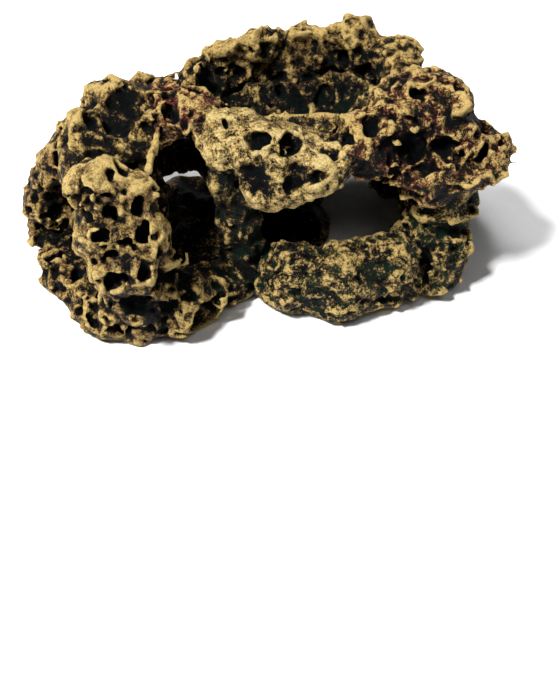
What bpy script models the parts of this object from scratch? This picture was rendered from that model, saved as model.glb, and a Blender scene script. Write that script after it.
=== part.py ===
"""Aquarium cave ornament: cast resin rocks bonded into one hollow, open-bottomed reef.

The reef stands on Z = 0, is longest along X and shows its two cave mouths to -Y. Each casting is one object.
A casting starts as a heap of boulders, which is fused, weathered and thinned to a few hundred faces. The caves
are then carved out of it, and it is fitted to the castings that were set in place before it.
Run it with: blender --background --python part.py
"""

import math

import bmesh
import bpy
from mathutils import Euler, Matrix, Vector, noise

# Driving dimensions, in metres.
LENGTH = 0.280  # the reef's overall length, which every place and radius below scales with
GLUE_LINE = 0.0006  # width of the bonded joint between two castings
FUSE_CELL = 0.0030  # cell of the grid that fuses a heap of boulders into one rock
WEATHER_DEPTH = 0.0030  # how far weathering moves a rock's surface in or out
WEATHER_SCALE = 0.016  # size of one weathered hump
CAVE_WEATHER_DEPTH = 0.0015
CAVE_TRIANGLES = 380
PIT_TRIANGLES = 70
CRUMB_SHARE = 0.2  # a loose bit smaller than this share of its casting is broken off

DRAWN_LENGTH = 280.0  # the tables below are drawn in millimetres, for a reef this long
UNIT = LENGTH / DRAWN_LENGTH
OCHRE, DARK_OCHRE, UMBER = (0.42, 0.30, 0.12, 1), (0.30, 0.21, 0.09, 1), (0.20, 0.14, 0.07, 1)

# Each boulder is (centre), (radii), and optionally (turn about X, Y, Z in degrees).
# A casting is fitted round all the castings that are listed before it.
CASTINGS = {
    "coral_column": {
        "colour": OCHRE,
        "triangles": 390,
        "boulders": [
            ((-84, -49, 90), (20, 17, 17)),
            ((-65, -50, 92), (12, 12, 11)),
            ((-81, -62, 73), (20, 17, 18)),
            ((-58, -60, 69), (13, 15, 14)),
            ((-75, -70, 55), (21, 16, 18)),
            ((-54, -62, 50), (13, 14, 15)),
            ((-70, -70, 34), (22, 16, 19)),
            ((-74, -66, 12), (24, 17, 18)),
        ],
    },
    "lip_rock": {
        "colour": OCHRE,
        "triangles": 340,
        "boulders": [
            ((-14, -16, 96), (20, 20, 16), (0, 8, 20)),
            ((10, -29, 94), (27, 20, 17)),
            ((30, -37, 91), (18, 16, 15)),
            ((8, -40, 83), (21, 13, 12), (20, 0, -10)),
        ],
    },
    "crown_rock": {
        "colour": DARK_OCHRE,
        "triangles": 320,
        "boulders": [
            ((-89, -9, 89), (18, 20, 18)),
            ((-68, -4, 94), (18, 20, 17)),
            ((-78, 13, 92), (22, 17, 17)),
            ((-97, -22, 81), (14, 19, 15)),
        ],
    },
    "right_boulder": {
        "colour": DARK_OCHRE,
        "triangles": 420,
        "boulders": [
            ((58, -22, 94), (22, 20, 18)),
            ((80, -5, 103), (25, 23, 18)),
            ((100, 0, 101), (19, 22, 19)),
            ((115, -10, 79), (20, 20, 18)),
            ((92, -28, 81), (26, 18, 16)),
        ],
    },
    "rear_rim": {
        "colour": OCHRE,
        "triangles": 420,
        "boulders": [
            ((-33, 29, 97), (14, 15, 15)),
            ((-20, 40, 99), (15, 14, 16)),
            ((0, 49, 103), (16, 13, 17)),
            ((24, 52, 103), (17, 13, 17)),
            ((52, 50, 107), (17, 14, 17)),
            ((77, 38, 102), (15, 15, 15)),
        ],
    },
    "sill_rock": {
        "colour": UMBER,
        "triangles": 320,
        "boulders": [
            ((18, -46, 18), (24, 20, 28)),
            ((42, -50, 18), (26, 20, 28)),
            ((68, -45, 20), (26, 18, 26)),
        ],
    },
    "middle_pillar": {
        "colour": UMBER,
        "triangles": 300,
        "boulders": [
            ((-20, -14, 68), (16, 18, 20)),
            ((-13, -22, 44), (14, 17, 26)),
            ((-9, -28, 16), (16, 15, 22)),
            ((-15, 10, 40), (12, 24, 38)),
        ],
    },
    "front_foot": {
        "colour": DARK_OCHRE,
        "triangles": 260,
        "boulders": [
            ((-50, -62, 16), (20, 20, 22)),
            ((-38, -53, 14), (20, 18, 19)),
            ((-23, -41, 9), (18, 15, 14)),
        ],
    },
    "right_end": {
        "colour": DARK_OCHRE,
        "triangles": 340,
        "boulders": [
            ((97, -26, 16), (26, 26, 26)),
            ((106, 2, 28), (20, 26, 32)),
            ((98, 18, 32), (20, 22, 36)),
            ((100, -16, 52), (21, 20, 20)),
        ],
    },
    "basin_rim": {
        "colour": OCHRE,
        "triangles": 320,
        "boulders": [
            ((-88, -50, 8), (28, 30, 14)),
            ((-108, -22, 8), (27, 31, 14)),
            ((-115, 8, 9), (28, 28, 14)),
            ((-88, 6, 6), (24, 24, 10)),
        ],
    },
    "left_hood": {
        "colour": OCHRE,
        "triangles": 320,
        "boulders": [
            ((-122, 14, 28), (21, 26, 27)),
            ((-113, 14, 49), (20, 22, 19)),
            ((-102, 16, 70), (17, 20, 17)),
        ],
    },
    "cave_partition": {
        "colour": UMBER,
        "triangles": 260,
        "boulders": [
            ((-68, -38, 30), (13, 22, 32)),
            ((-70, -14, 46), (13, 24, 36)),
            ((-73, 12, 42), (14, 22, 42)),
        ],
    },
    "bridge_rock": {
        "colour": UMBER,
        "triangles": 220,
        "boulders": [
            ((-52, 0, 99), (17, 17, 12)),
            ((-36, 2, 100), (16, 18, 13)),
            ((-48, 20, 94), (20, 20, 12)),
        ],
    },
    "rear_left_wall": {
        "colour": UMBER,
        "triangles": 280,
        "boulders": [
            ((-92, 38, 38), (24, 15, 42)),
            ((-64, 40, 58), (22, 15, 40)),
            ((-40, 44, 50), (18, 14, 40)),
            ((-22, 48, 30), (16, 13, 34)),
        ],
    },
    "rear_right_wall": {
        "colour": UMBER,
        "triangles": 300,
        "boulders": [
            ((0, 54, 44), (20, 13, 46)),
            ((28, 58, 56), (24, 13, 40)),
            ((58, 55, 58), (24, 14, 40)),
            ((84, 42, 42), (22, 16, 46)),
        ],
    },
    "middle_cave_floor": {
        "colour": UMBER,
        "triangles": 160,
        "boulders": [
            ((-43, -26, 0), (24, 26, 5)),
            ((-44, 6, 0), (25, 30, 5)),
            ((-46, 34, 0), (24, 28, 5)),
        ],
    },
    "right_cave_floor": {
        "colour": UMBER,
        "triangles": 160,
        "boulders": [
            ((10, -8, 0), (26, 28, 6)),
            ((14, 16, 0), (28, 32, 6)),
            ((12, 40, 0), (28, 24, 6)),
        ],
    },
    "crater_bowl": {
        "colour": UMBER,
        "triangles": 270,
        "boulders": [
            ((20, 20, 82), (54, 38, 26)),
            ((36, -14, 86), (18, 15, 13)),
        ],
    },
}

# The floors lie low in the caves, so only the ground trims them.
FLOORS = ("middle_cave_floor", "right_cave_floor")

# Hollows carved out of every other casting that they reach, drawn the same way.
CAVES = {
    "crater": [((24, 22, 110), (46, 25, 42)), ((2, 20, 108), (38, 22, 32))],
    "right_cave": [((46, 2, 24), (46, 42, 38)), ((44, -4, 46), (42, 34, 14))],
    "right_mouth": [((47, -46, 60), (42, 44, 15))],
    "middle_cave": [((-42, 6, 38), (18, 44, 44))],
    "middle_mouth": [((-43, -26, 60), (17, 34, 26), (20, 0, 0))],
    "middle_back_door": [((-46, 56, 4), (19, 30, 14))],
    "alcove": [((-108, -24, 40), (27, 32, 26)), ((-114, -50, 46), (27, 30, 26))],
}

# Pits in the faces of the rocks, drawn the same way.
PITS = {
    "crown_pit": [((-76, -13, 113), (14, 12, 17))],
    "column_pits": [((-92, -64, 97), (6, 9, 6)), ((-76, -88, 66), (8, 9, 7))],
    "foot_pits": [((-58, -86, 34), (11, 13, 11)), ((-38, -70, 14), (12, 12, 11))],
    "lip_pits": [((-3, -46, 101), (9, 12, 7)), ((17, -50, 99), (9, 12, 7))],
    "boulder_pits": [((62, -42, 102), (9, 10, 7)), ((84, -34, 98), (13, 12, 10))],
}


def clear_scene():
    for old in list(bpy.data.objects):
        bpy.data.objects.remove(old)


def new_collection(name):
    made = bpy.data.collections.new(name)
    bpy.context.scene.collection.children.link(made)
    return made


def resin(name, colour):
    """Painted polyresin: matt all over, no metal."""
    made = bpy.data.materials.new(name + "_resin")
    made.use_nodes = True
    shader = made.node_tree.nodes["Principled BSDF"]
    shader.inputs["Base Color"].default_value = colour
    shader.inputs["Roughness"].default_value = 0.75
    shader.inputs["Metallic"].default_value = 0.0
    return made


def heap(name, boulders, detail):
    """One object holding every boulder of a heap as its own icosphere, overlapping its neighbours."""
    shape = bmesh.new()
    for place, radii, *turn in boulders:
        angles = [math.radians(a) for a in (turn[0] if turn else (0, 0, 0))]
        matrix = (
            Matrix.Translation(Vector(place) * UNIT)
            @ Euler(angles).to_matrix().to_4x4()
            @ Matrix.Diagonal((*(Vector(radii) * UNIT), 1))
        )
        bmesh.ops.create_icosphere(shape, subdivisions=detail, radius=1, matrix=matrix)
    mesh = bpy.data.meshes.new(name)
    shape.to_mesh(mesh)
    shape.free()
    return bpy.data.objects.new(name, mesh)


def apply_modifiers(obj):
    """Replaces the object's mesh by what its modifiers make of it."""
    bpy.context.view_layer.update()
    graph = bpy.context.evaluated_depsgraph_get()
    mesh = bpy.data.meshes.new_from_object(obj.evaluated_get(graph))
    obj.modifiers.clear()
    obj.data = mesh


def move_along_normals(mesh, distance_of):
    """Moves each vertex along its normal by distance_of(the vertex)."""
    shape = bmesh.new()
    shape.from_mesh(mesh)
    shape.normal_update()
    moved = [(v, v.co + v.normal * distance_of(v)) for v in shape.verts]
    for vertex, place in moved:
        vertex.co = place
    shape.to_mesh(mesh)
    shape.free()


def weather(mesh, depth):
    """Humps and hollows from fractal noise, which depend on the place alone, so that neighbours match."""
    move_along_normals(
        mesh, lambda v: depth * noise.fractal(v.co / WEATHER_SCALE, 1.0, 2.0, 3)
    )


def rock(name, boulders, triangles, depth):
    """A heap of boulders fused into one closed, weathered body of about that many triangles."""
    obj = heap(name, boulders, 4)
    bpy.context.scene.collection.objects.link(obj)
    fuse = obj.modifiers.new("fuse", "REMESH")
    fuse.mode = "VOXEL"
    fuse.voxel_size = FUSE_CELL
    soften = obj.modifiers.new("soften", "SMOOTH")
    soften.factor = 0.5
    soften.iterations = 4
    apply_modifiers(obj)
    weather(obj.data, depth)
    thin = obj.modifiers.new("thin", "DECIMATE")
    obj.data.calc_loop_triangles()
    thin.ratio = min(1.0, triangles / len(obj.data.loop_triangles))
    apply_modifiers(obj)
    bpy.context.scene.collection.objects.unlink(obj)
    return obj


def as_cutter(obj, collection):
    collection.objects.link(obj)
    obj.hide_render = True
    obj.display_type = "WIRE"
    return obj


def grown_copy(obj, by):
    """A cutter with the object's shape, larger all round."""
    copy = bpy.data.objects.new(obj.name + "_seat", obj.data.copy())
    move_along_normals(copy.data, lambda v: by * v.calc_shell_factor())
    return copy


def ground_block():
    """Everything below the surface that the reef stands on."""
    bpy.ops.mesh.primitive_cube_add(size=1, location=(0, 0, -LENGTH / 2))
    block = bpy.context.object
    block.name = "ground"
    block.scale = (2 * LENGTH, 2 * LENGTH, LENGTH)
    bpy.ops.object.transform_apply(location=True, rotation=False, scale=True)
    block.users_collection[0].objects.unlink(block)
    return block


def boxes_meet(a, b):
    def span(obj, k):
        values = [v.co[k] for v in obj.data.vertices]
        return min(values), max(values)

    for k in range(3):
        (low_a, high_a), (low_b, high_b) = span(a, k), span(b, k)
        if low_a > high_b or low_b > high_a:
            return False
    return True


def carve(obj, cutters):
    for cutter in cutters:
        if not boxes_meet(obj, cutter):
            continue
        cut = obj.modifiers.new("cut", "BOOLEAN")
        cut.operation = "DIFFERENCE"
        cut.solver = "EXACT"
        cut.object = cutter
        apply_modifiers(obj)


def drop_crumbs(obj):
    """Deletes the small loose bits that carving leaves, and stops if what is left isn't one body."""
    shape = bmesh.new()
    shape.from_mesh(obj.data)
    bmesh.ops.remove_doubles(shape, verts=shape.verts, dist=1e-5)
    left = set(shape.verts)
    islands = []
    while left:
        start = left.pop()
        island, edge = {start}, [start]
        while edge:
            for link in edge.pop().link_edges:
                for vertex in link.verts:
                    if vertex not in island:
                        island.add(vertex)
                        edge.append(vertex)
        left -= island
        islands.append(island)
    islands.sort(key=len, reverse=True)
    for island in islands[1:]:
        if len(island) > CRUMB_SHARE * len(islands[0]):
            print(obj.name, "has a large loose bit:", len(island), "of", len(islands[0]))
        bmesh.ops.delete(shape, geom=list(island), context="VERTS")
    shape.to_mesh(obj.data)
    shape.free()


def centre(objects):
    """Moves the castings together, so that the origin is the middle of the footprint's box."""
    corners = [v.co for obj in objects for v in obj.data.vertices]
    middle = Vector(((min(c[k] for c in corners) + max(c[k] for c in corners)) / 2 for k in (0, 1)))
    for obj in objects:
        obj.data.transform(Matrix.Translation((-middle.x, -middle.y, 0)))


def main():
    clear_scene()
    reef = new_collection("resin_cave_ornament")
    cutters = new_collection("cutters")
    hollows = [(name, boulders, CAVE_TRIANGLES) for name, boulders in CAVES.items()]
    hollows += [(name, boulders, PIT_TRIANGLES * len(boulders)) for name, boulders in PITS.items()]
    caves = [
        as_cutter(rock(name, boulders, triangles, CAVE_WEATHER_DEPTH), cutters)
        for name, boulders, triangles in hollows
    ]
    ground = as_cutter(ground_block(), cutters)
    seats, made = [], []
    for name, facts in CASTINGS.items():
        casting = rock(name, facts["boulders"], facts["triangles"], WEATHER_DEPTH)
        seat = grown_copy(casting, GLUE_LINE)
        reef.objects.link(casting)
        carve(casting, seats + [ground] + ([] if name in FLOORS else caves))
        drop_crumbs(casting)
        casting.data.materials.clear()
        casting.data.materials.append(resin(name, facts["colour"]))
        seats.append(as_cutter(seat, cutters))
        made.append(casting)
    centre(made)


main()
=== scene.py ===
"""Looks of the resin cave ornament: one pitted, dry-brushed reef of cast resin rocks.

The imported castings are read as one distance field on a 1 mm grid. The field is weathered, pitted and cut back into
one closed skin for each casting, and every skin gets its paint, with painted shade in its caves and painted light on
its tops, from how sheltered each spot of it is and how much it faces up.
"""

import math

import bpy
import numpy as np
import openvdb
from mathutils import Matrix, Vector


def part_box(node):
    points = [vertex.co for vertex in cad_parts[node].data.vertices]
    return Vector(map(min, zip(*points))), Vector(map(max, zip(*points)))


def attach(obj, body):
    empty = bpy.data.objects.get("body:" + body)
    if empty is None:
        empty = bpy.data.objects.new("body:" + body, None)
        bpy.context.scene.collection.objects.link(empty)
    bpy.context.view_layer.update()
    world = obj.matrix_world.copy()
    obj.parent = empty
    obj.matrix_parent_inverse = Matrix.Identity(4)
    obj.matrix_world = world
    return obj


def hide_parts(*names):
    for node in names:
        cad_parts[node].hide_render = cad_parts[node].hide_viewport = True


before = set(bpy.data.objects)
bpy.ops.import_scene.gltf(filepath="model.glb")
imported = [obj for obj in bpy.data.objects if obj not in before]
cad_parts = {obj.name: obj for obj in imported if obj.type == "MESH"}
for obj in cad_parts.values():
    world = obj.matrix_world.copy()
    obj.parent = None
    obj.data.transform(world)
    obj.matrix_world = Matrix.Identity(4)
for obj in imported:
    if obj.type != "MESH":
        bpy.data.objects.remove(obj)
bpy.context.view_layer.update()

MM = 0.001
CELL = 1.0  # grid cell, in mm; every length below is in mm and in cells alike
MARGIN = 7  # air kept round the CAD box
BAND = 12.0  # how far from a casting its distance is known
REACH = 9  # distances are cut off here before the castings are rounded off
GLUE = 0.4  # a little over half of the bonded joint between two castings, so that it closes before weathering
ROUNDING = 2.3  # how softly corners and seams are rounded off before weathering
LEVEL = 0.62  # a fold's height less this moves the surface out about as much as in
PROUD = 2.0  # how far the skin may stand past the CAD box, except underneath
SPARE = 4  # how far a carved shape's soft edge may reach past it
THICKEST = 24  # walls are measured up to this thickness before a pit is sunk into them
SMALLEST_AIR = 20000  # enclosed air of fewer cells than this is filled
SMALLEST_SOLID = 60000  # and loose resin of fewer cells is dropped
FLAT_FOOT = 0.55  # a skin point this near the floor lies on it

NODES = sorted(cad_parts)
BOXES = np.array([[list(corner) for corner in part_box(name)] for name in NODES]) / MM
CAD_LOW, CAD_HIGH = BOXES[:, 0].min(0), BOXES[:, 1].max(0)
ORIGIN = np.floor(CAD_LOW) - MARGIN
SHAPE = tuple(int(n) for n in np.ceil(CAD_HIGH) + MARGIN - ORIGIN + 1)
rng = np.random.default_rng(41)


# ---------------------------------------------------------------- fields on the grid


def shifted(field, axis, start, count):
    return field[tuple(slice(start, start + count) if k == axis else slice(None) for k in range(3))]


def blur(field, sigma):
    """Gaussian blur, as one short weighted sum along each axis."""
    reach = math.ceil(2.5 * sigma)
    weights = [math.exp(-0.5 * (step / sigma) ** 2) for step in range(reach + 1)]
    whole = weights[0] + 2 * sum(weights[1:])
    for axis in range(3):
        count = field.shape[axis]
        padded = np.pad(field, [(reach, reach) if k == axis else (0, 0) for k in range(3)], mode="edge")
        field = shifted(padded, axis, reach, count) * np.float32(weights[0] / whole)
        for step in range(1, reach + 1):
            pair = shifted(padded, axis, reach - step, count) + shifted(padded, axis, reach + step, count)
            pair *= np.float32(weights[step] / whole)
            field += pair
    return field


def noise(*spacing):
    """Smooth random field with unit spread: cubic B-splines on a lattice with that spacing along X, Y and Z."""
    spacing = spacing * 3 if len(spacing) == 1 else spacing
    lattice = [int((count - 1) / s) + 4 for count, s in zip(SHAPE, spacing)]
    field = rng.standard_normal(lattice).astype(np.float32)
    for axis in range(3):
        where = np.arange(SHAPE[axis]) / spacing[axis]
        first = where.astype(int)
        t = (where - first).astype(np.float32).reshape([-1 if k == axis else 1 for k in range(3)])
        weights = ((1 - t) ** 3, 3 * t**3 - 6 * t**2 + 4, -3 * t**3 + 3 * t**2 + 3 * t + 1, t**3)
        field = sum(w * np.take(field, first + k, axis) for k, w in enumerate(weights))
    return field / field.std()


def smooth_max(a, b, k):
    return np.maximum(a, b) + np.maximum(k - np.abs(a - b), 0) ** 2 / (4 * k)


def smooth_min(a, b, k):
    return -smooth_max(-a, -b, k)


def steps(field, low, high):
    t = np.clip((field - low) / (high - low), 0, 1)
    return t * t * (3 - 2 * t)


def sample(field, points):
    """Trilinear value of a field at points given in cells."""
    top = np.array(field.shape) - 1.001
    points = np.clip(points, 0, top)
    base = points.astype(int)
    f = (points - base).astype(np.float32)
    total = 0
    for corner in range(8):
        bits = [(corner >> axis) & 1 for axis in range(3)]
        weight = 1.0
        for axis, bit in enumerate(bits):
            weight = weight * (f[:, axis] if bit else 1 - f[:, axis])
        total = total + weight * field[base[:, 0] + bits[0], base[:, 1] + bits[1], base[:, 2] + bits[2]]
    return total


def slope(field, points):
    """Unit gradient of a field at points given in cells."""
    out = np.stack(
        [sample(field, points + shift) - sample(field, points - shift) for shift in np.eye(3)],
        1,
    )
    return out / np.maximum(np.linalg.norm(out, axis=1, keepdims=True), 1e-6)


def casting_distance(node):
    """Distance to one packed casting, in mm, negative inside it."""
    mesh = node.data
    places = np.empty(len(mesh.vertices) * 3, np.float32)
    mesh.vertices.foreach_get("co", places)
    places = places.reshape(-1, 3)
    mesh.calc_loop_triangles()
    corners = np.empty(len(mesh.loop_triangles) * 3, np.int32)
    mesh.loop_triangles.foreach_get("vertices", corners)
    _, first, same = np.unique(np.round(places * 1e6), axis=0, return_index=True, return_inverse=True)
    grid = openvdb.FloatGrid.createLevelSetFromPolygons(
        places[first] / MM - ORIGIN.astype(np.float32),
        triangles=same.reshape(-1)[corners].reshape(-1, 3).astype(np.uint32),
        transform=openvdb.createLinearTransform(voxelSize=CELL),
        halfWidth=BAND,
    )
    field = np.empty(SHAPE, np.float32)
    grid.copyToArray(field)
    return field


# ---------------------------------------------------------------- the castings as one body

nearest = np.full(SHAPE, BAND * 2, np.float32)
owner = np.zeros(SHAPE, np.int8)
floors = nearest.copy()
for number, name in enumerate(NODES):
    distance = casting_distance(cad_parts[name])
    if name.endswith("_floor"):
        floors = np.minimum(floors, distance)
    closer = distance < nearest
    owner[closer] = number
    nearest = np.minimum(nearest, distance)

xs, ys, zs = np.meshgrid(
    *[np.arange(count, dtype=np.float32) + start for count, start in zip(SHAPE, ORIGIN)],
    indexing="ij",
    sparse=True,
)
body = blur(np.clip(nearest - GLUE, -REACH, REACH), ROUNDING) + GLUE
# The middle of each wall, which weathering and pits leave standing, so that no thin wall is pierced.
spine = steps(body - nearest, 0.8, 1.3) * steps(-nearest, 0.2, 0.8)


def by_casting(table, default=0.0, soft=3.0):
    """A field that holds each casting's own number, blended over the joints, worked out on every second cell."""
    values = np.array([table.get(name, default) for name in NODES], np.float32)
    half = blur(values[owner[::2, ::2, ::2]], soft / 2)
    for axis, count in enumerate(SHAPE):
        half = np.take(half, np.arange(count) // 2, axis)
    return half


# How far each kind of weathering moves a casting's surface, in mm.
HUMPS = {
    "lip_rock": 1.0,
    "sill_rock": 1.3,
    "right_boulder": 1.9,
    "crown_rock": 1.6,
    "rear_rim": 1.8,
    "right_end": 1.7,
}
FOLDS = {
    "right_boulder": 3.6,
    "crown_rock": 2.6,
    "bridge_rock": 2.4,
    "rear_rim": 0.8,
    "right_end": 2.5,
    "crater_bowl": 1.4,
    "left_hood": 2.3,
    "basin_rim": 1.8,
    "lip_rock": 0.6,
    "coral_column": 1.1,
    "sill_rock": 1.2,
    "middle_pillar": 1.8,
    "front_foot": 2.2,
    "middle_cave_floor": 0.5,
    "right_cave_floor": 0.4,
}
GRAIN = {
    "lip_rock": 0.8,
    "sill_rock": 1.5,
    "right_boulder": 1.6,
    "right_end": 1.4,
    "rear_rim": 1.2,
}

# How deep weathering may eat into a casting, in mm: little in the thin ones, so that no wall is pierced.
CORE = {
    "rear_left_wall": 1.2,
    "rear_right_wall": 1.2,
    "rear_rim": 1.6,
    "crater_bowl": 1.2,
    "bridge_rock": 1.5,
    "cave_partition": 1.8,
}

foot_band = steps(zs, 2.0, 10.0)  # from 0 at the floor, where less is weathered, to 1 from 10 mm up
warp = [noise(5.5) * 0.85 for _ in range(3)]
folds = noise(9, 9, 8)
small_folds = noise(5.2)
# The crater's wall runs on into its bottom, so the crease between the two is filled.
filled = blur(np.clip(nearest, -REACH, REACH), 4.5) + 5 * (1 - by_casting({"crater_bowl": 1, "rear_rim": 0.9}))
body = smooth_min(body, filled, 1.5)
body += by_casting(HUMPS, 1.5) * noise(15) * (0.35 + 0.65 * foot_band)
body -= by_casting(FOLDS, 1.6) * (LEVEL - np.abs(folds)) * foot_band
body -= by_casting(FOLDS, 1.6) * 0.42 * (LEVEL - np.abs(small_folds)) * foot_band

# The crater's wall is fluted from its rim down, and the boulder's underside is layered.
flutes = noise(6.5, 6.5, 26)
body -= by_casting({"rear_rim": 2.3, "crater_bowl": 2.2}) * (LEVEL - np.abs(flutes))
layers = noise(17, 17, 4.2)
body += by_casting({"right_end": 0.9, "sill_rock": 0.45, "right_boulder": 1.0}) * layers * foot_band
body = smooth_min(body, floors - 0.8 + 0.5 * small_folds, 1.5)
body = smooth_min(body, nearest - GLUE + by_casting(CORE, 3.2), 1.0)


# ---------------------------------------------------------------- hollows, rims and twigs


def place(node, fractions):
    """A point at fractions of a casting's box, moved onto the weathered surface, and its outward direction."""
    low, high = (np.array(corner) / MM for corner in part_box(node))
    point = ((low + (high - low) * np.array(fractions)) - ORIGIN)[None]
    for _ in range(12):
        point = point - slope(body, point) * np.clip(sample(body, point), -3, 3)[:, None] * 0.8
    return point[0], slope(body, point)[0]


def window(point, reach):
    """The cells within reach of a point, as slices."""
    low = np.maximum(np.floor(point - reach).astype(int), 0)
    high = np.minimum(np.ceil(point + reach).astype(int) + 1, SHAPE)
    return tuple(slice(a, b) for a, b in zip(low, high))


def around(point, outward, turn, view):
    """Cell places in a window, seen from a point: two directions on the surface, and the height above it."""
    axes = [np.arange(s.start, s.stop, dtype=np.float32) - c for s, c in zip(view, point)]
    grid = np.meshgrid(*axes, indexing="ij", sparse=True)
    x, y, z = (g + w[view] for g, w in zip(grid, warp))
    level = np.cross(outward, (0, 0, 1) if abs(outward[2]) < 0.9 else (1, 0, 0))
    level = level / np.linalg.norm(level)
    steep = np.cross(outward, level)
    u = level * math.cos(turn) + steep * math.sin(turn)
    v = np.cross(outward, u)
    return [x * d[0] + y * d[1] + z * d[2] for d in (u, v, outward)]


def depth_allowed(points, outwards, share):
    """How deep a pit may go at each point, as a share of the wall's thickness there."""
    solid_run = np.full(len(points), float(THICKEST))
    for step in range(THICKEST, 0, -1):
        solid_run[sample(body, points - outwards * step) > 0] = step
    return solid_run * share


wash_and_shade = np.zeros(SHAPE, np.float32)  # how thick the dark wash lies in the pits, and how dark the painted shade laid on below is


def carve(point, outward, radius, depth, aspect=1.0, turn=0.0, rim=0.0, soft=0.8):
    """Sinks a steep-sided pit into the surface, with a raised rim round it where rim is given."""
    wide, narrow = radius * aspect, radius
    view = window(point, max(wide, depth) + rim + SPARE)
    u, v, h = around(point, outward, turn, view)
    if rim:
        ring = np.sqrt((u / (wide + rim)) ** 2 + (v / (narrow + rim)) ** 2 + (h / (rim + 1.0)) ** 2) - 1
        body[view] = smooth_min(body[view], ring * (rim + 1.0), 1.6)
    below = np.minimum(h + depth - narrow, 0) + np.maximum(h - 1.5, 0)
    pit = np.sqrt((u / wide) ** 2 + (v / narrow) ** 2 + (below / narrow) ** 2) - 1
    body[view] = smooth_max(body[view], -pit * narrow, soft)
    # The wash pools towards the bottom of a pit, and more of it in a wide one.
    pooled = steps(-h, 0.15 * depth, 0.8 * depth) * (1 - steps(pit, 0.10, 0.45)) * min(0.3 + radius / 7, 1)
    wash_and_shade[view] = np.maximum(wash_and_shade[view], pooled)


def twig(start, end, radius):
    """A thin cast branch between two points."""
    start, end = np.array(start, float), np.array(end, float)
    middle = (start + end) / 2
    view = window(middle, np.linalg.norm(end - start) / 2 + radius + SPARE)
    axes = [np.arange(s.start, s.stop, dtype=np.float32) for s in view]
    grid = [g + w[view] * 0.7 for g, w in zip(np.meshgrid(*axes, indexing="ij", sparse=True), warp)]
    run = end - start
    t = sum((g - s) * r for g, s, r in zip(grid, start, run)) / (run @ run)
    t = np.clip(t, 0, 1)
    off = np.sqrt(sum((g - s - t * r) ** 2 for g, s, r in zip(grid, start, run))) - radius
    body[view] = smooth_min(body[view], off, 1.2)


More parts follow.
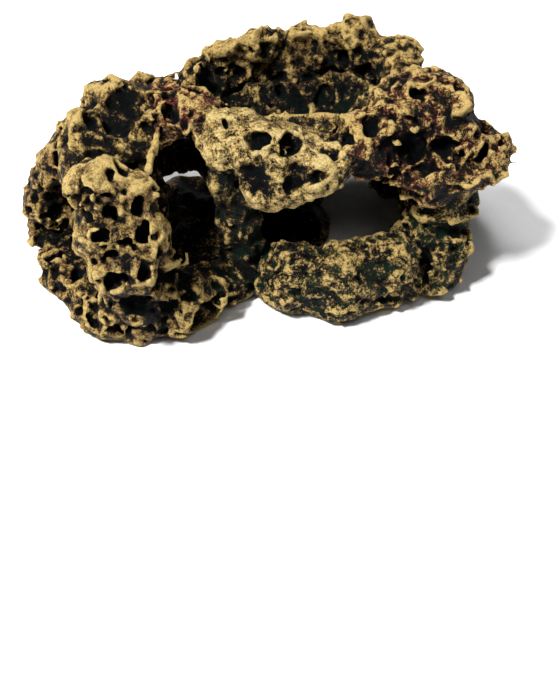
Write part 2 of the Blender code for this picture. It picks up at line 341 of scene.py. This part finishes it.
# Each hollow: fractions of its casting's box, radius and depth in mm, and then how much longer than wide it is, its
# turn in degrees, and the height of its rim in mm.
HOLLOWS = {
    "crown_rock": [
        (0.60, 0.45, 0.95, 12, 11, 1.2, 0, 0),
        (0.35, 0.40, 0.90, 4.5, 5, 1.3, 40, 0),
        (0.85, 0.60, 0.95, 4.5, 6, 1.3, 20, 1.2),
        (0.20, 0.60, 0.90, 3.5, 5),
        (0.50, 0.05, 0.45, 5.0, 6, 1.9, 0, 0),
        (0.20, 0.05, 0.40, 2.8, 5, 1, 0, 1.2),
    ],
    "coral_column": [
        (0.25, 0.50, 0.92, 4.2, 9, 1, 0, 2.2),
        (0.55, 0.70, 1.00, 4.0, 6, 1.5, 30, 0),
        (0.20, 0.35, 0.82, 3.4, 6, 1.2, 0, 1),
        (0.42, 0.35, 0.84, 4.2, 7, 1.3, 0, 1),
        (0.65, 0.40, 0.85, 4.2, 7, 1.4, 60, 0),
        (0.32, 0.20, 0.74, 4.4, 6, 1.1, 60, 1),
        (0.50, 0.18, 0.72, 2.8, 5),
        (0.40, 0.15, 0.66, 2.6, 5),
        (0.28, 0.15, 0.62, 2.4, 5),
        (0.66, 0.30, 0.72, 4.4, 8, 1.5, 70, 0),
        (0.75, 0.25, 0.62, 3.0, 6),
        (0.42, 0.05, 0.55, 5.5, 8, 1.2, 20, 1.2),
        (0.65, 0.10, 0.57, 4.6, 7, 1.3, 70, 0),
        (0.90, 0.30, 0.44, 8.0, 10, 1.3, 10, 0),
        (0.55, 0.02, 0.36, 8.5, 10, 1.15, 10, 1),
        (0.80, 0.15, 0.28, 5.0, 7, 1.2, 80, 0),
        (0.27, 0.15, 0.22, 3.0, 6, 1, 0, 3),
        (0.18, 0.20, 0.56, 3.8, 6),
        (0.18, 0.20, 0.43, 3.6, 6, 1.2, 50, 0),
        (0.10, 0.42, 0.57, 4.6, 7, 1, 0, 1),
        (0.62, 0.12, 0.15, 4.0, 6),
        (0.30, 0.12, 0.13, 3.6, 6, 1.1, 0, 1),
        (0.45, 0.06, 0.10, 2.6, 5),
    ],
    "front_foot": [(0.42, 0.20, 0.85, 3.4, 6), (0.22, 0.02, 0.50, 4.6, 8), (0.65, 0.10, 0.60, 3.5, 6)],
    "lip_rock": [
        (0.40, 0.36, 0.92, 6.2, 9, 1.25, 10, 0.8),
        (0.60, 0.33, 0.92, 6.0, 9, 1.2, 170, 0.8),
        (0.38, 0.12, 0.56, 12.0, 5, 1.2, 0, 0),
        (0.72, 0.08, 0.66, 4.6, 6, 1.2, 0, 0),
        (0.60, 0.10, 0.50, 4.2, 5, 1.2, 70, 0),
        (0.20, 0.57, 0.95, 1.8, 4, 2.4, 0, 0),
        (0.85, 0.30, 0.85, 3.2, 4, 1.3, 30, 0),
    ],
    "bridge_rock": [
        (0.40, 0.12, 0.80, 4.4, 8, 1.3, 20, 1.2),
        (0.30, 0.60, 0.75, 3.4, 6, 1.8, 30, 0),
        (0.70, 0.40, 0.90, 3.0, 5, 1, 0, 1.2),
        (0.60, 0.80, 0.90, 3.6, 6),
    ],
    "right_boulder": [
        (0.20, 0.32, 0.86, 5.0, 8, 1.5, 0, 0),
        (0.33, 0.15, 0.74, 8.5, 10, 1.25, 10, 1),
        (0.55, 0.22, 0.66, 5.5, 7, 1.1, 0, 1.2),
        (0.05, 0.28, 0.74, 4.5, 6, 1.4, 20, 0),
        (0.68, 0.20, 0.55, 3.0, 8, 2.2, 80, 0),
        (0.80, 0.30, 0.50, 3.0, 8, 2.4, 80, 0),
        (0.92, 0.40, 0.45, 2.8, 7, 2.2, 80, 0),
        (0.45, 0.55, 0.95, 3.0, 4, 1.8, 160, 0),
        (0.70, 0.60, 0.90, 4.0, 4, 1.8, 30, 0),
    ],
    "rear_rim": [
        (0.68, 0.60, 0.50, 4.8, 4, 1.4, 80, 0),
        (0.12, 0.30, 0.80, 4.6, 5, 1, 0, 1.2),
    ],
    "crater_bowl": [(0.64, 0.77, 0.52, 6.0, 5, 1.3, 80, 0), (0.42, 0.80, 0.57, 4.5, 5)],
    "right_end": [(0.80, 0.10, 0.50, 4.5, 7, 1.4, 60, 0), (0.90, 0.30, 0.30, 3.5, 5), (0.95, 0.50, 0.60, 4, 5)],
    "left_hood": [
        (0.15, 0.15, 0.42, 3.4, 6),
        (0.35, 0.20, 0.25, 5.4, 7, 1.2, 0, 1),
        (0.15, 0.10, 0.12, 4.6, 6),
        (0.75, 0.33, 0.40, 7.0, 8, 1, 0, 1.6),
        (0.25, 0.15, 0.50, 3.0, 6),
        (0.10, 0.40, 0.70, 4.5, 7),
        (0.40, 0.10, 0.85, 3.5, 5),
    ],
    "basin_rim": [
        (0.25, 0.48, 0.80, 5.2, 5, 1.2, 30, 1),
        (0.42, 0.37, 0.70, 4.6, 5),
        (0.40, 0.18, 0.70, 3.2, 5),
        (0.52, 0.06, 0.62, 4.2, 6, 1, 0, 1),
        (0.22, 0.30, 0.35, 3.2, 5),
        (0.10, 0.60, 0.50, 4.0, 6),
        (0.60, 0.05, 0.35, 3.0, 5),
    ],
    "cave_partition": [
        (0.10, 0.80, 0.25, 8.0, 8),
        (0.18, 0.45, 0.54, 4.2, 5, 1.2, 0, 1.6),
        (0.18, 0.20, 0.54, 4.6, 5, 1.2, 0, 1.6),
        (0.18, 0.43, 0.38, 3.6, 5, 1, 0, 1.4),
        (0.20, 0.20, 0.42, 2.6, 4, 1, 0, 1.4),
        (0.22, 0.30, 0.30, 2.4, 4, 1, 0, 1.2),
        (0.18, 0.60, 0.75, 6.5, 8),
    ],
    "sill_rock": [(0.75, 0.15, 0.30, 3.4, 4, 2.0, 160, 0), (0.35, 0.10, 0.30, 2.6, 3)],
}
for node, rows in HOLLOWS.items():
    for row in rows:
        fractions, (radius, depth), rest = row[:3], row[3:5], row[5:] or (1.0, 0.0, 0.0)
        aspect, turn, rim = rest
        point, outward = place(node, fractions)
        depth = min(depth, depth_allowed(point[None], outward[None], 0.5)[0])
        carve(point, outward, radius, depth, aspect, math.radians(turn), rim, 0.5 + radius * 0.08)

# Thin branches left standing in and beside the crown's pit.
low, high = (np.array(corner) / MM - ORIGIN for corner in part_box("crown_rock"))
span = high - low
twig(low + span * (0.62, 0.20, 0.88), low + span * (0.74, 0.50, 0.98), 1.3)
twig(low + span * (0.92, 0.62, 0.98), low + span * (0.93, 0.20, 0.80), 1.9)
twig(low + span * (0.93, 0.20, 0.80), low + span * (0.84, 0.02, 0.62), 2.2)

# Places painted darker: painted shade in pits, hollows and on lower faces where shade falls, and over the whole
# column a duller tone. Each: fractions of the casting's box, radius in mm, and how dark.
SHADED = {
    "crown_rock": [(0.57, 0.41, 1.0, 20, 0.8), (0.92, 0.50, 0.7, 12, 0.4), (0.50, 0.05, 0.5, 12, 0.4)],
    "lip_rock": [(0.36, 0.10, 0.52, 18, 0.85), (0.72, 0.08, 0.58, 12, 0.65), (0.95, 0.25, 0.6, 10, 0.6)],
    "right_boulder": [(0.30, 0.12, 0.5, 24, 0.5), (0.58, 0.10, 0.3, 18, 0.45), (0.08, 0.30, 0.7, 11, 0.5)],
    "rear_rim": [(0.25, 0.10, 0.4, 26, 0.6), (0.62, 0.15, 0.2, 22, 0.3)],
    "front_foot": [(0.55, 0.30, 0.9, 24, 0.5)],
    "sill_rock": [(0.25, 0.85, 0.9, 24, 0.7), (0.65, 0.85, 0.9, 24, 0.6), (0.50, 0.10, 0.1, 14, 0.4)],
    "right_end": [(0.50, 0.10, 0.45, 14, 0.5), (0.70, 0.10, 0.1, 12, 0.4)],
    "left_hood": [(0.30, 0.20, 0.5, 20, 0.4)],
    "coral_column": [(0.95, 0.30, 0.35, 18, 0.5), (0.60, 0.05, 0.15, 14, 0.35), (0.5, 0.5, 0.5, 70, 0.3)],
}
for node, rows in SHADED.items():
    for *fractions, radius, share in rows:
        low, high = (np.array(corner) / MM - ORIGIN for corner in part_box(node))
        point = low + (high - low) * fractions
        view = window(point, radius)
        axes = [np.arange(s.start, s.stop, dtype=np.float32) - c for s, c in zip(view, point)]
        away = np.sqrt(sum(g**2 for g in np.meshgrid(*axes, indexing="ij", sparse=True))) / radius
        wash_and_shade[view] = np.maximum(wash_and_shade[view], share * (1 - steps(away, 0.5, 1.0)))

# Pits for each square centimetre of a casting, and their smallest and largest radius in mm.
PITTING = {
    "coral_column": (0.7, 1.0, 2.6),
    "basin_rim": (1.0, 1.0, 3.2),
    "left_hood": (0.9, 1.2, 4.0),
    "front_foot": (0.7, 1.0, 3.2),
    "cave_partition": (0.8, 1.0, 3.4),
    "crown_rock": (0.4, 0.9, 2.6),
    "bridge_rock": (0.5, 0.9, 2.8),
    "right_boulder": (0.2, 0.9, 2.6),
    "rear_rim": (0.08, 0.9, 2.0),
    "right_end": (0.35, 0.9, 2.8),
    "crater_bowl": (0.3, 1.0, 2.6),
    "lip_rock": (0.1, 0.8, 1.4),
    "sill_rock": (0.25, 0.8, 1.8),
    "middle_pillar": (0.4, 0.9, 2.4),
    "rear_left_wall": (0.6, 1.0, 3.4),
    "rear_right_wall": (0.6, 1.0, 3.4),
    "middle_cave_floor": (0.2, 0.8, 1.6),
    "right_cave_floor": (0.2, 0.8, 1.6),
}
CELLS_PER_CM2 = 100
shell = np.argwhere((np.abs(body) < 0.6) & (zs > 3.0))  # about 1.3 cells thick
castings_there = owner[tuple(shell.T)]
for number, name in enumerate(NODES):
    density, smallest, largest = PITTING[name]
    spots = shell[castings_there == number]
    count = int(len(spots) / 1.3 / CELLS_PER_CM2 * density)
    tries = spots[rng.permutation(len(spots))[: count * 4]]
    tries = tries + rng.uniform(-0.4, 0.4, tries.shape)
    radii = smallest + (largest - smallest) * rng.random(len(tries)) ** 1.8
    kept = []
    for k in range(len(tries)):
        gaps = np.linalg.norm(tries[kept] - tries[k], axis=1) if kept else np.array([99.0])
        if len(kept) < count and (gaps > 0.95 * (radii[kept] + radii[k]) + 0.5).all():
            kept.append(k)
    chosen, radii = tries[kept], radii[kept]
    outwards = slope(body, chosen)
    allowed = depth_allowed(chosen, outwards, 0.4)
    for spot, outward, deepest, radius in zip(chosen, outwards, allowed, radii):
        tilted = outward + rng.normal(0, 0.25, 3)
        tilted /= np.linalg.norm(tilted)
        rim = 0.9 if rng.random() < 0.3 and radius > 1.6 else 0.0
        depth = min(radius * rng.uniform(1.2, 2.0), deepest)
        carve(spot, tilted, min(radius, depth), depth, rng.uniform(1, 1.8), rng.uniform(0, 3.1), rim, 0.5)

# Grain: small crags and nicks all over, down to about a millimetre.
rough = by_casting(GRAIN, 1.0) * (0.35 + 0.65 * foot_band)
body += rough * (0.30 * noise(2.6) + 0.24 * noise(1.6))
body -= rough * 0.42 * (LEVEL - np.abs(noise(3.4)))
body = np.minimum(body, BAND - (BAND + 0.6) * spine)  # at least 0.6 mm deep along the spine

# Cut off level with the floor, and just past the CAD box on the other sides.
body = np.maximum(np.ascontiguousarray(body), -zs)
for axis, places in enumerate((xs, ys, zs)):
    for sign, edge in ((1, CAD_HIGH), (-1, CAD_LOW)):
        underneath = (axis, sign) == (2, -1)
        body = np.maximum(body, sign * (places - edge[axis]) - (0.0 if underneath else PROUD))


# ---------------------------------------------------------------- one closed skin for each casting


def neighbours(axis):
    """Slices that pair every cell with the next one along an axis."""
    near = tuple(slice(0, -1) if k == axis else slice(None) for k in range(3))
    far = tuple(slice(1, None) if k == axis else slice(None) for k in range(3))
    return near, far


def clusters(marked, tag):
    """Numbers the connected groups of marked cells that share a tag."""
    index = np.full(SHAPE, -1, np.int32)
    cells = np.flatnonzero(marked)
    index.reshape(-1)[cells] = np.arange(len(cells))
    pairs = []
    for axis in range(3):
        a, b = neighbours(axis)
        joined = marked[a] & marked[b] & (tag[a] == tag[b])
        pairs.append(np.stack([index[a][joined], index[b][joined]]))
    a, b = np.concatenate(pairs, 1)
    group = np.arange(len(cells))
    while True:
        ga, gb = group[a], group[b]
        apart = ga != gb
        if not apart.any():
            break
        a, b, ga, gb = a[apart], b[apart], ga[apart], gb[apart]
        low = np.minimum(ga, gb)
        np.minimum.at(group, np.maximum(ga, gb), low)
        while True:
            shorter = group[group]
            if (shorter == group).all():
                break
            group = shorter
    return cells, group


def drop_small(marked, least, value):
    """Turns small separate groups of marked cells into the other kind."""
    cells, group = clusters(marked, np.zeros(SHAPE, np.int8))
    size = np.bincount(group)
    body.reshape(-1)[cells[size[group] < least]] = value


# Air is looked for near the skin only, where all the air outside still hangs together as one big group.
drop_small((body >= 0) & (body < 2.5), SMALLEST_AIR, -0.3)
drop_small(body < 0, SMALLEST_SOLID, 0.3)

# Bits of a casting that its own seams cut off go to the neighbour they touch.
solid = body < 0
cells, group = clusters(solid, owner)
size = np.bincount(group)
flat_owner = owner.reshape(-1)
castings_here = flat_owner[cells]
keep = np.zeros(len(size), bool)
for number in range(len(NODES)):
    groups = np.unique(group[castings_here == number])
    keep[groups[np.argmax(size[groups])]] = True
loose = cells[~keep[group]]
strides = (SHAPE[1] * SHAPE[2], SHAPE[2], 1)
settled = solid.reshape(-1).copy()
settled[loose] = False
while len(loose):
    before = len(loose)
    for stride in strides + tuple(-s for s in strides):
        beside = loose + stride
        ready = settled[beside]
        flat_owner[loose[ready]] = flat_owner[beside[ready]]
        settled[loose[ready]] = True
        loose = loose[~ready]
    if len(loose) == before:
        break

tags = np.where(solid, owner + 1, 0).astype(np.int8)
CORNERS = [(i, j, k) for i in (0, 1) for j in (0, 1) for k in (0, 1)]
EDGES = [(a, b) for a in range(8) for b in range(a + 1, 8) if math.dist(CORNERS[a], CORNERS[b]) == 1]


def corner(field, c):
    """A field's value at one corner of every cube of eight cells."""
    return field[tuple(slice(o, o + n - 1) for o, n in zip(c, SHAPE))]


# One point in each cube that a skin or a seam passes through, at the middle of where it crosses the cube's edges.
lowest, highest = corner(tags, CORNERS[0]).copy(), corner(tags, CORNERS[0]).copy()
for c in CORNERS[1:]:
    np.minimum(lowest, corner(tags, c), out=lowest)
    np.maximum(highest, corner(tags, c), out=highest)
mixed = np.argwhere(lowest != highest)
vertex_of = np.full([n - 1 for n in SHAPE], -1, np.int32)
vertex_of[tuple(mixed.T)] = np.arange(len(mixed))
at_corner = np.stack([corner(body, c)[tuple(mixed.T)] for c in CORNERS], 1)
tag_at = np.stack([corner(tags, c)[tuple(mixed.T)] for c in CORNERS], 1)
total, share = np.zeros((len(mixed), 3), np.float32), np.zeros(len(mixed), np.float32)
inner, inner_share = total.copy(), share.copy()
for a, b in EDGES:
    ca, cb = np.array(CORNERS[a], np.float32), np.array(CORNERS[b], np.float32)
    fa, fb = at_corner[:, a], at_corner[:, b]
    skin = (fa < 0) != (fb < 0)
    t = np.where(skin, fa / np.where(skin, fa - fb, 1), 0.5)[:, None]
    total += np.where(skin[:, None], ca + (cb - ca) * t, 0)
    share += skin
    seam = (tag_at[:, a] != tag_at[:, b]) & ~skin
    inner += np.where(seam[:, None], (ca + cb) / 2, 0)
    inner_share += seam
on_skin = share > 0
local_place = np.where(
    on_skin[:, None], total / np.maximum(share, 1)[:, None], inner / np.maximum(inner_share, 1)[:, None]
)
points = mixed + local_place
points[:, 2] = np.where(np.abs(points[:, 2] + ORIGIN[2]) < FLAT_FOOT, -ORIGIN[2], points[:, 2])

# One face between any two neighbouring cells that belong to different castings, or to a casting and the air.
quads, quad_tag = [], []
for axis in range(3):
    a, b = neighbours(axis)
    at = np.argwhere(tags[a] != tags[b])
    near, far = tags[a][tuple(at.T)], tags[b][tuple(at.T)]
    one, two = (axis + 1) % 3, (axis + 2) % 3
    ring = []
    for back_one, back_two in ((1, 1), (0, 1), (0, 0), (1, 0)):
        cell = at.copy()
        cell[:, one] -= back_one
        cell[:, two] -= back_two
        ring.append(vertex_of[tuple(cell.T)])
    ring = np.stack(ring, 1)
    for tag, face in ((near, ring), (far, ring[:, ::-1])):
        quads.append(face[tag > 0])
        quad_tag.append(tag[tag > 0])
quads, quad_tag = np.concatenate(quads), np.concatenate(quad_tag)

# How exposed each spot is, from fine grain up to whole caves: above zero on crests, below zero in hollows, and
# each size divided by about what it spans. The broadest size also paints shade into the caves and deep recesses, and
# the last mark, how much a spot faces up, paints the tops lighter as light from above falls on them.
mid_field = blur(np.clip(body, -7, 7), 3.2)
broad_field = blur(np.clip(body, -12, 12)[::2, ::2, ::2], 4.5)
exposure = {
    "crest_fine": sample(blur(np.clip(body, -3, 3), 1.2), points) / 0.45,
    "crest_mid": sample(mid_field, points) / 1.3,
    "broad_shade": sample(broad_field, points / 2) / 4.0,
    "top_lit": slope(mid_field, points)[:, 2],
}
# Where each paint effect is laid on: how much on the castings named, how much on the rest, and how softly it ends.
regions = {
    "cream": ({"lip_rock": 1.0, "coral_column": 0.3}, 0.0, 2.0),
    "maroon": ({"bridge_rock": 1.0, "right_boulder": 0.7}, 0.0, 3.0),
    "moss": (
        {
            "sill_rock": 0.7,
            "right_end": 0.9,
            "front_foot": 0.6,
            "middle_pillar": 0.7,
            "crater_bowl": 0.3,
            "rear_rim": 0.3,
        },
        0.1,
        5.0,
    ),
    "rust": ({"left_hood": 0.7, "basin_rim": 0.7, "rear_rim": 0.4, "cave_partition": 0.6}, 0.2, 5.0),
    "speckled": (
        {
            "coral_column": 0.6,
            "lip_rock": 1.1,
            "sill_rock": 1.6,
            "right_boulder": 1.3,
            "right_end": 1.4,
            "rear_rim": 0.8,
        },
        1.0,
        4.0,
    ),
    # Above zero, more dry-brush paint; below zero, painted shade: castings that stand in shade are painted darker,
    # and the cave floors are painted black as the caves' shade.
    "brushed_and_shaded": (
        {
            "coral_column": 0.18,
            "lip_rock": 0.2,
            "rear_rim": 0.1,
            "left_hood": -0.05,
            "basin_rim": -0.05,
            "front_foot": -0.1,
            "middle_pillar": -0.32,
            "cave_partition": -0.18,
            "crater_bowl": -0.04,
            "rear_left_wall": -0.1,
            "rear_right_wall": -0.1,
            "middle_cave_floor": -0.8,
            "right_cave_floor": -0.8,
        },
        0.0,
        3.0,
    ),
}
regions = {name: by_casting(*facts) for name, facts in regions.items()}
# The pits' dark paint and the painted shade of the places above, as one mark.
regions["wash_and_shade"] = wash_and_shade
marks = dict(exposure, **{name: sample(field, points) for name, field in regions.items()})


# ---------------------------------------------------------------- paint


class Paint:
    """A small helper that wires shader nodes."""

    def __init__(self, name):
        self.material = bpy.data.materials.new(name)
        self.material.use_nodes = True
        self.tree = self.material.node_tree
        self.shader = self.tree.nodes["Principled BSDF"]

    def put(self, socket, value):
        if isinstance(value, bpy.types.NodeSocket):
            self.tree.links.new(value, socket)
        else:
            socket.default_value = value

    def node(self, kind, output=0, inputs=None, **settings):
        node = self.tree.nodes.new(kind)
        for key, value in settings.items():
            setattr(node, key, value)
        for key, value in (inputs or {}).items():
            self.put(node.inputs[key], value)
        return node.outputs[output]

    def math(self, operation, *values):
        return self.node("ShaderNodeMath", inputs=dict(enumerate(values)), operation=operation)

    def mark(self, name):
        """One of the values stored on the skins."""
        return self.node("ShaderNodeAttribute", "Fac", attribute_name=name)

    def grain(self, scale, detail=3.0, rough=0.6):
        """Noise from 0 to 1 with its scale in waves per metre."""
        where = self.node("ShaderNodeTexCoord", "Object")
        inputs = {"Vector": where, "Scale": scale, "Detail": detail, "Roughness": rough}
        return self.node("ShaderNodeTexNoise", "Fac", inputs)

    def ramp(self, value, low, high):
        """Rises smoothly from 0 to 1 as the value goes from low to high."""
        inputs = {"Value": value, "From Min": low, "From Max": high}
        return self.node("ShaderNodeMapRange", inputs=inputs, interpolation_type="SMOOTHSTEP", clamp=True)

    def mix(self, factor, a, b):
        node = self.tree.nodes.new("ShaderNodeMix")
        node.data_type = "RGBA"
        for key, value in ((0, factor), (6, a), (7, b)):
            self.put(node.inputs[key], value)
        return node.outputs[2]


def srgb(*channels):
    """Linear colour of three sRGB channels from 0 to 255."""
    return tuple((c / 255 / 12.92 if c < 10 else ((c / 255 + 0.055) / 1.055) ** 2.4) for c in channels) + (1,)


# The first colour is the black of the pits' paint, and also the black painted as shade into the caves.
BLACK_WASH_AND_SHADE = srgb(2, 2, 4)
SLATE = srgb(26, 28, 34)
UMBER = srgb(54, 38, 20)
TAN = srgb(226, 190, 112)
CREAM = srgb(250, 222, 146)
CHALK = srgb(234, 230, 212)
MAROON = srgb(104, 20, 34)
MOSS = srgb(14, 40, 26)
RUST = srgb(128, 80, 34)


def resin(name, tone, roughness):
    """Resin in one base tone: black in the hollows and painted shade in the caves, dry-brush ochre on the crests and
    painted light on the tops.
    """
    p = Paint(name)
    cream, speckled = p.mark("cream"), p.mark("speckled")
    speckle = p.math("SUBTRACT", p.grain(720, 6, 0.85), 0.5)
    crumbs = p.math("SUBTRACT", p.grain(330, 5, 0.75), 0.5)
    patch = p.math("SUBTRACT", p.grain(75, 4, 0.6), 0.5)
    vein = p.math("ABSOLUTE", p.math("SUBTRACT", p.grain(210, 4, 0.65), 0.5))
    crack = p.math("SUBTRACT", p.ramp(vein, 0.0, 0.03), 1.0)
    # How light a spot is painted: dry-brush paint, and with it painted shade in the caves and on the castings in
    # shade, and painted light on the tops; none below 0.34, where the black shows, and all from 1.3 up.
    height = p.math("ADD", p.mark("brushed_and_shaded"), 0.06)
    for value, share in (
        (p.mark("crest_fine"), 0.34),
        (p.mark("crest_mid"), 0.48),
        (p.mark("broad_shade"), 0.34),
        (p.mark("top_lit"), 0.16),
        (p.mark("wash_and_shade"), -0.6),
        (p.math("MULTIPLY", speckle, speckled), 5.0),
        (p.math("MULTIPLY", crumbs, speckled), 3.6),
        (patch, 2.0),
        (crack, 0.5),
        (cream, 0.18),
    ):
        height = p.math("MULTIPLY_ADD", value, share, height)
    # From the hollows up: black wash flecked with slate, which is also the painted shade of the caves, umber, the
    # base tone, and tan on the crests.
    dark = p.mix(p.ramp(p.grain(1000, 3, 0.7), 0.54, 0.64), BLACK_WASH_AND_SHADE, SLATE)
    colour = p.mix(p.ramp(height, 0.34, 0.46), dark, UMBER)
    colour = p.mix(p.ramp(height, 0.44, 0.70), colour, tone)
    colour = p.mix(p.ramp(height, 0.70, 1.30), colour, TAN)
    rust = p.math("MULTIPLY", p.mark("rust"), p.ramp(p.grain(55, 3), 0.42, 0.62))
    rust = p.math("MULTIPLY", rust, p.ramp(height, 0.35, 0.6))
    colour = p.mix(p.math("MULTIPLY", rust, 0.55), colour, RUST)
    bright = p.math("MULTIPLY", p.ramp(height, 0.95, 1.5), p.math("MULTIPLY_ADD", cream, 0.7, 0.3))
    colour = p.mix(bright, colour, CREAM)
    flecks = p.ramp(p.grain(560, 5, 0.8), 0.56, 0.63)
    chalk = p.math("MULTIPLY", p.math("MULTIPLY_ADD", cream, 0.8, 0.2), flecks)
    chalk = p.math("MULTIPLY", chalk, p.ramp(height, 0.1, 0.6))
    colour = p.mix(p.math("MULTIPLY", chalk, 0.6), colour, CHALK)
    # Maroon lies between the wash and the brightest crests, and green in the hollows.
    stain = p.math("MULTIPLY", p.mark("maroon"), p.ramp(p.grain(150, 5, 0.75), 0.46, 0.54))
    stain = p.math("MULTIPLY", stain, p.ramp(height, 0.25, 0.40))
    colour = p.mix(p.math("MULTIPLY", stain, p.ramp(height, 1.35, 0.8)), colour, MAROON)
    green = p.math("MULTIPLY", p.mark("moss"), p.ramp(p.grain(110, 5, 0.7), 0.48, 0.55))
    colour = p.mix(p.math("MULTIPLY", green, p.ramp(height, 0.8, 0.35)), colour, MOSS)
    grime = p.math("MULTIPLY", p.ramp(p.grain(900, 4, 0.8), 0.52, 0.38), 0.4)
    grime = p.math("MULTIPLY", grime, p.ramp(height, 0.4, 0.7))
    colour = p.mix(grime, colour, UMBER)
    p.put(p.shader.inputs["Base Color"], colour)
    gloss = p.math("MULTIPLY_ADD", p.ramp(height, 0.2, 0.6), roughness - 0.5, 0.5)
    p.put(p.shader.inputs["Roughness"], p.math("MULTIPLY_ADD", speckle, 0.2, gloss))
    relief = p.math("MULTIPLY_ADD", p.grain(1300, 3, 0.7), 0.5, p.grain(520, 6, 0.8))
    bump = {"Strength": 1.0, "Distance": 0.004, "Height": relief}
    p.put(p.shader.inputs["Normal"], p.node("ShaderNodeBump", "Normal", bump))
    p.shader.inputs["Specular IOR Level"].default_value = 0.12
    return p.material


# The base tone and roughness of each slot.
SLOTS = {
    "ochre_resin": (srgb(148, 118, 66), 0.72),
    "cream_resin": (srgb(176, 144, 80), 0.7),
    "dark_ochre_resin": (srgb(136, 108, 60), 0.74),
    "mossy_resin": (srgb(130, 110, 66), 0.76),
    "maroon_resin": (srgb(128, 92, 58), 0.72),
    "umber_resin": (srgb(112, 90, 54), 0.78),
}
SLOT_OF = {
    "lip_rock": "cream_resin",
    "crown_rock": "dark_ochre_resin",
    "right_boulder": "dark_ochre_resin",
    "sill_rock": "mossy_resin",
    "right_end": "mossy_resin",
    "bridge_rock": "maroon_resin",
    "middle_pillar": "umber_resin",
    "cave_partition": "umber_resin",
    "rear_left_wall": "umber_resin",
    "rear_right_wall": "umber_resin",
    "crater_bowl": "umber_resin",
    "middle_cave_floor": "umber_resin",
    "right_cave_floor": "umber_resin",
}
materials = {slot: resin(slot, *look) for slot, look in SLOTS.items()}

places = ((points + ORIGIN) * MM).astype(np.float32)
for number, name in enumerate(NODES):
    faces = quads[quad_tag == number + 1]
    used, faces = np.unique(faces, return_inverse=True)
    faces = faces.reshape(-1, 4)
    mesh = bpy.data.meshes.new("skin_" + name)
    mesh.vertices.add(len(used))
    mesh.vertices.foreach_set("co", places[used].ravel())
    mesh.loops.add(faces.size)
    mesh.loops.foreach_set("vertex_index", faces.astype(np.int32).ravel())
    mesh.polygons.add(len(faces))
    mesh.polygons.foreach_set("loop_start", np.arange(0, faces.size, 4, dtype=np.int32))
    mesh.update(calc_edges=True)
    mesh.shade_smooth()
    for mark, values in marks.items():
        attribute = mesh.attributes.new(mark, "FLOAT", "POINT")
        attribute.data.foreach_set("value", values[used].astype(np.float32))
    piece = bpy.data.objects.new("skin_" + name, mesh)
    bpy.context.scene.collection.objects.link(piece)
    slot = SLOT_OF.get(name, "ochre_resin")
    mesh.materials.append(materials[slot])
    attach(piece, "root")
    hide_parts(name)
print("skin:", len(points), "vertices,", len(quads), "quads")


# ---------------------------------------------------------------- floor, light and camera

centre = Vector(((CAD_LOW[0] + CAD_HIGH[0]) / 2, (CAD_LOW[1] + CAD_HIGH[1]) / 2, 0)) * MM
mesh = bpy.data.meshes.new("floor")
reach = 6.0  # half the floor's width, in metres
corners = [(-reach, -reach, 0), (reach, -reach, 0), (reach, reach, 0), (-reach, reach, 0)]
mesh.from_pydata(corners, [], [(0, 1, 2, 3)])
floor = bpy.data.objects.new("floor", mesh)
floor.location.z = -0.0002  # just clear of the underside
bpy.context.scene.collection.objects.link(floor)
paper = Paint("paper")
fibre = paper.ramp(paper.grain(60, 4), 0.3, 0.7)
paper.put(paper.shader.inputs["Base Color"], paper.mix(fibre, (0.86, 0.86, 0.87, 1), (0.9, 0.9, 0.9, 1)))
paper.put(paper.shader.inputs["Roughness"], paper.math("MULTIPLY_ADD", fibre, 0.1, 0.8))
mesh.materials.append(paper.material)

world = bpy.data.worlds.new("studio")
world.use_nodes = True
studio = world.node_tree
studio.nodes["Background"].inputs["Color"].default_value = (0.82, 0.92, 1, 1)
# The room is dim, as the lamps do the lighting, but its wall looks pale.
DIM, PALE = 0.04, 0.75
seen = studio.nodes.new("ShaderNodeLightPath").outputs["Is Camera Ray"]
brightness = studio.nodes.new("ShaderNodeMath")
brightness.operation = "MULTIPLY_ADD"
studio.links.new(seen, brightness.inputs[0])
brightness.inputs[1].default_value = PALE
brightness.inputs[2].default_value = DIM
studio.links.new(brightness.outputs[0], studio.nodes["Background"].inputs["Strength"])
bpy.context.scene.world = world


def soft_light(name, azimuth, elevation, distance, size, watts):
    """A square lamp aimed at the object: angles in degrees, azimuth 0 in front, distance and size in metres."""
    data = bpy.data.lights.new(name, "AREA")
    data.size = size
    data.energy = watts
    lamp = bpy.data.objects.new(name, data)
    a, e = math.radians(azimuth), math.radians(elevation)
    away = Vector((math.sin(a) * math.cos(e), -math.cos(a) * math.cos(e), math.sin(e)))
    lamp.location = centre + away * distance
    lamp.rotation_euler = away.to_track_quat("Z", "Y").to_euler()
    bpy.context.scene.collection.objects.link(lamp)


soft_light("key", -62, 58, 5, 0.85, 490)
soft_light("front", 15, 68, 5, 2.2, 34)
soft_light("back", -125, 62, 5, 1.4, 150)

scene = bpy.context.scene
scene.view_settings.view_transform = "Standard"
scene.view_settings.look = "None"

# The camera stands in front, 42 degrees up, and looks lower than the object, which fills the frame's upper half.
TARGET = Vector((0.003, 0.008, 0.055))
DISTANCE = 0.612
ELEVATION, TILT, TURN = 42, 9.5, -1.3
camera_data = bpy.data.cameras.new("camera")
camera_data.lens = 54
camera = bpy.data.objects.new("camera", camera_data)
climb = math.radians(ELEVATION)
camera.location = TARGET + Vector((0, -math.cos(climb), math.sin(climb))) * DISTANCE
camera.rotation_euler = (math.radians(90 - ELEVATION - TILT), 0, math.radians(TURN))
scene.collection.objects.link(camera)
scene.camera = camera
